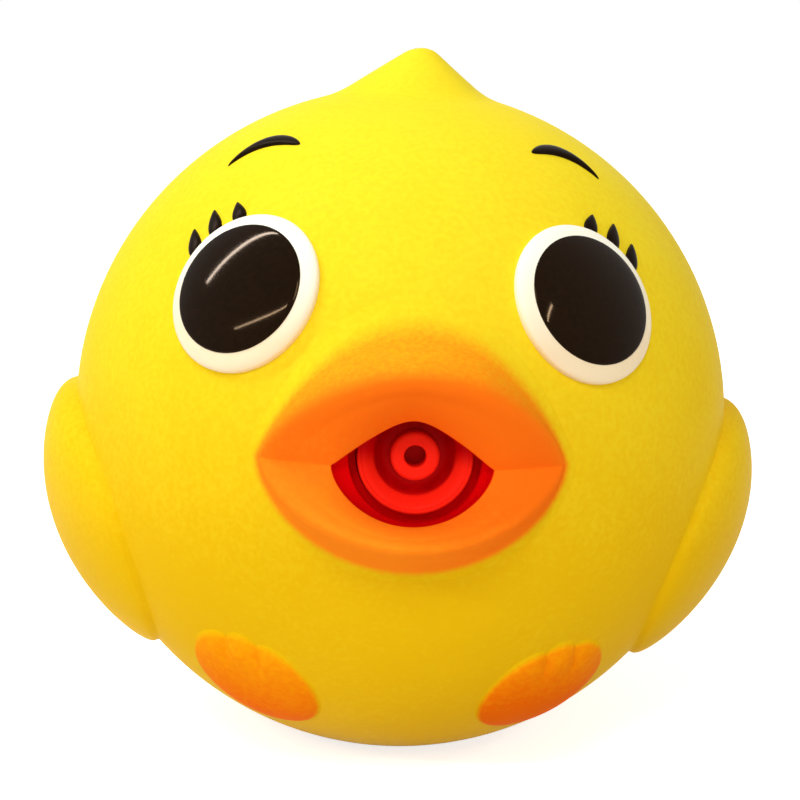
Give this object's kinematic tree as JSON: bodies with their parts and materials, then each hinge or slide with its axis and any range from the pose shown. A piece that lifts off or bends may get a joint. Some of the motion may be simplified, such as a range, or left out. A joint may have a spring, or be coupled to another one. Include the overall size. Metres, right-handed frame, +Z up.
{
  "type": "rubber duck",
  "caption": "Round hollow vinyl bath duck with an open orange bill, a cup-shaped squirt nozzle in its mouth, raised eyes, side wings, a pointed tuft and a flat base.",
  "frame": {"origin": "centre of the flat base, on the surface that the duck stands on", "axes": "+Z up through the crown, -Y out of the face along the bill, +X towards the duck's own left wing"},
  "size_m": [0.099, 0.0969, 0.0947],
  "materials": {
    "vinyl_body": "satin yellow vinyl with sprayed orange bill and feet and painted eyes",
    "nozzle_plastic": "smooth red"
  },
  "bodies": {
    "root": {"body": "vinyl_body", "mouth_nozzle": "nozzle_plastic"}
  },
  "joints": []
}
